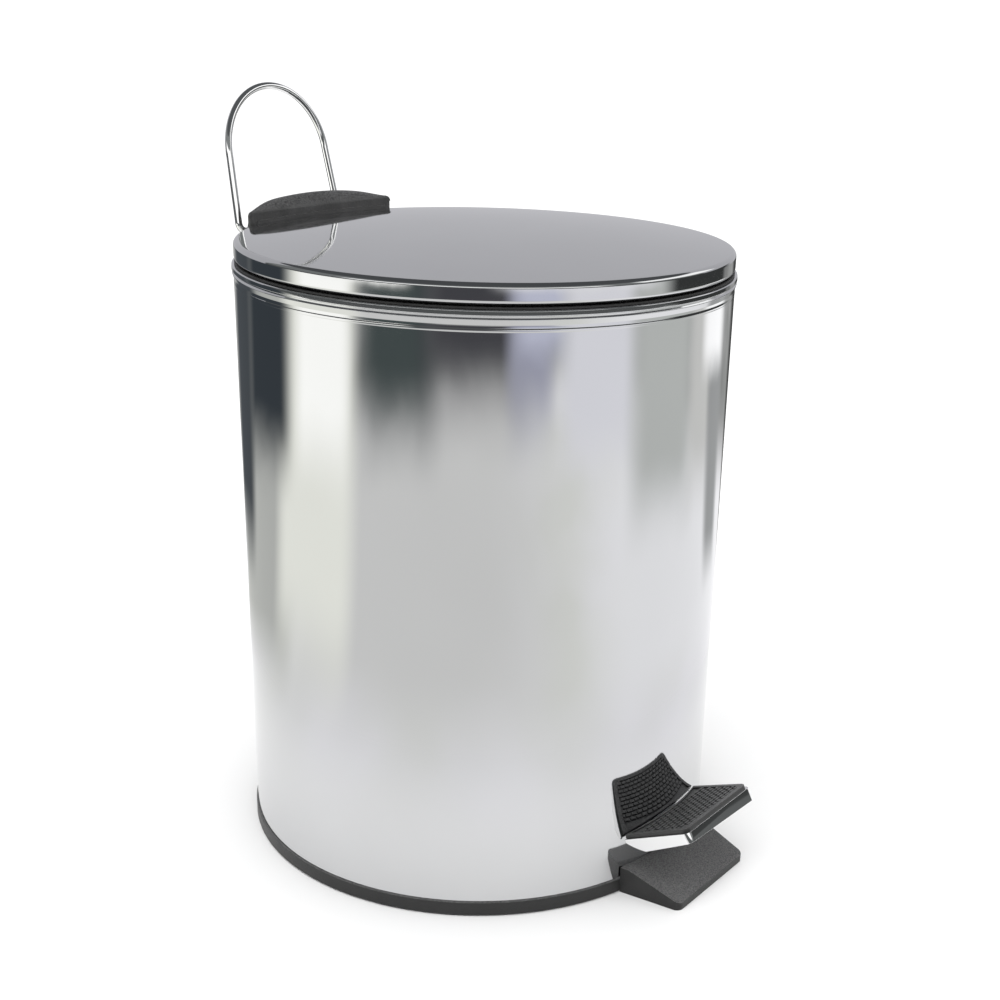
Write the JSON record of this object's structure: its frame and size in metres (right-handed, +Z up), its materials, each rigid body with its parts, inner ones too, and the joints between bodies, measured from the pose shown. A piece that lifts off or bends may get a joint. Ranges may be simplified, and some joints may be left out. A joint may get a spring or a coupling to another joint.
{
  "type": "pedal bin",
  "caption": "Small round pedal bin: polished steel body and domed lid, black plastic base with a toe, rubber-faced pedal, wire carrying handle and lift-out liner.",
  "frame": {"origin": "centre of the base on the floor plane", "axes": "+Z up; the pedal points to -Y and the lid hinge is at +Y; +X is to the right of someone facing the hinge from the pedal side"},
  "size_m": [0.2056, 0.2558, 0.311],
  "materials": {
    "polished_steel": "mirror-polished stainless sheet",
    "chrome_plate": "bright chrome plate on pressed steel",
    "chrome_wire": "bright chrome plate on drawn wire",
    "zinc_steel": "zinc-plated steel",
    "black_plastic": "black moulded plastic with fine grain",
    "liner_plastic": "black moulded plastic, smooth",
    "soft_rubber": "black rubber with a raised block pattern"
  },
  "bodies": {
    "bin": {"outer_body": "polished_steel", "base_tray": "black_plastic", "foot_pads": "soft_rubber", "lever_axle": "zinc_steel", "axle_clips": "zinc_steel", "liner_bucket": "liner_plastic", "liner_bail": "chrome_wire", "hinge_block": "black_plastic", "block_rivets": "zinc_steel", "hinge_pin": "zinc_steel"},
    "lid": {"lid_shell": "polished_steel", "hinge_cover": "black_plastic", "lift_bracket": "zinc_steel", "bracket_screws": "zinc_steel", "lid_bumpers": "soft_rubber"},
    "pedal": {"tread_plate": "chrome_plate", "tread_pad": "soft_rubber", "tread_rivets": "zinc_steel", "pedal_lever": "zinc_steel"},
    "rod": {"push_rod": "zinc_steel", "rod_clips": "zinc_steel"},
    "handle": {"carry_handle": "chrome_wire"}
  },
  "joints": [
    {"name": "lid_open", "type": "hinge", "parent": "bin", "child": "lid", "pos_m": [0, 0.10733, 0.2505], "axis": [-1, 0, 0], "range_deg": [0, 72]},
    {"name": "pedal_press", "type": "hinge", "parent": "bin", "child": "pedal", "pos_m": [0, -0.035, 0.0085], "axis": [1, 0, 0], "range_deg": [0, 9]},
    {"name": "rod_swing", "type": "hinge", "parent": "pedal", "child": "rod", "pos_m": [0, 0.0935, 0.0085], "axis": [-1, 0, 0], "range_deg": [0, 9.4]},
    {"name": "handle_swing", "type": "hinge", "parent": "lid", "child": "handle", "pos_m": [0, 0.1124, 0.2505], "axis": [-1, 0, 0], "range_deg": [-40, 90]}
  ],
  "couplings": [
    {"joint": "pedal_press", "follows": "lid_open", "ratio": 0.125},
    {"joint": "rod_swing", "follows": "lid_open", "ratio": 0.13043}
  ]
}
